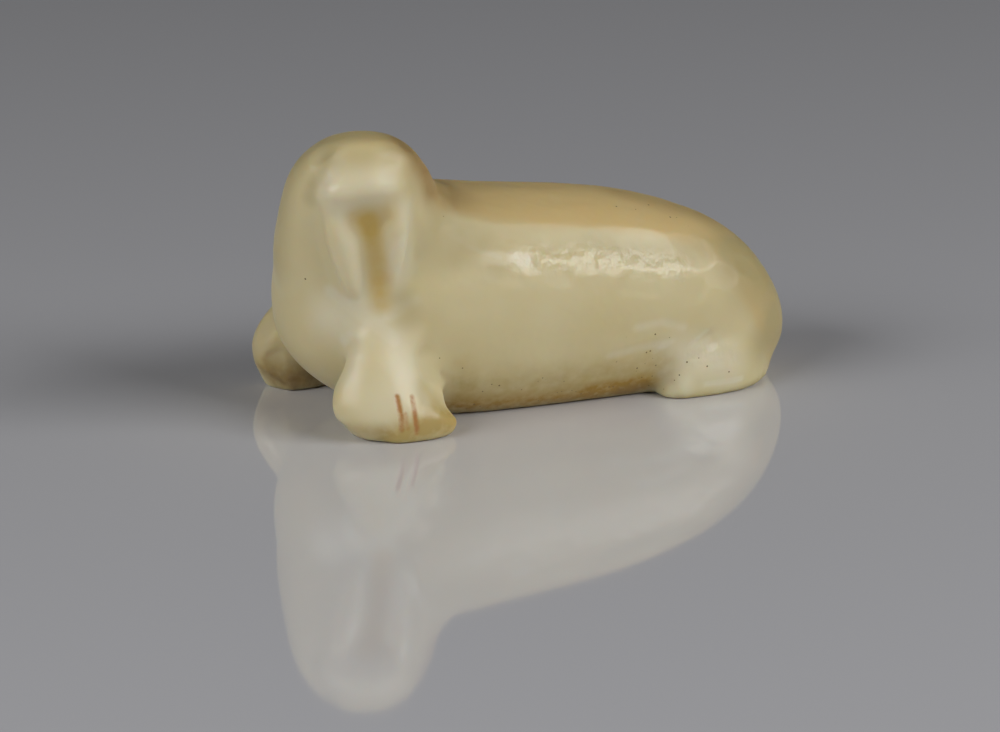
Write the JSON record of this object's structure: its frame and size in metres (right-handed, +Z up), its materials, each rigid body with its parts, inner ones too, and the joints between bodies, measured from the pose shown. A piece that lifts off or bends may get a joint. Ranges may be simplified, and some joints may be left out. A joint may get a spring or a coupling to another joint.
{
  "type": "walrus carving",
  "caption": "Small ivory carving of a walrus lying on its belly with its head raised and turned to its left; it stands by its own weight as an ornament.",
  "frame": {"origin": "centre of the bounding box at the flat underside, on the surface the carving stands on", "axes": "+X from the head to the tail, -Y towards the walrus's left side, which its face looks to, +Z up"},
  "size_m": [0.0392, 0.0202, 0.0214],
  "materials": {
    "ivory": "aged walrus ivory, cream with tan patina, hand polished to a soft gloss over knife facets"
  },
  "bodies": {
    "root": {"walrus": "ivory"}
  },
  "joints": []
}
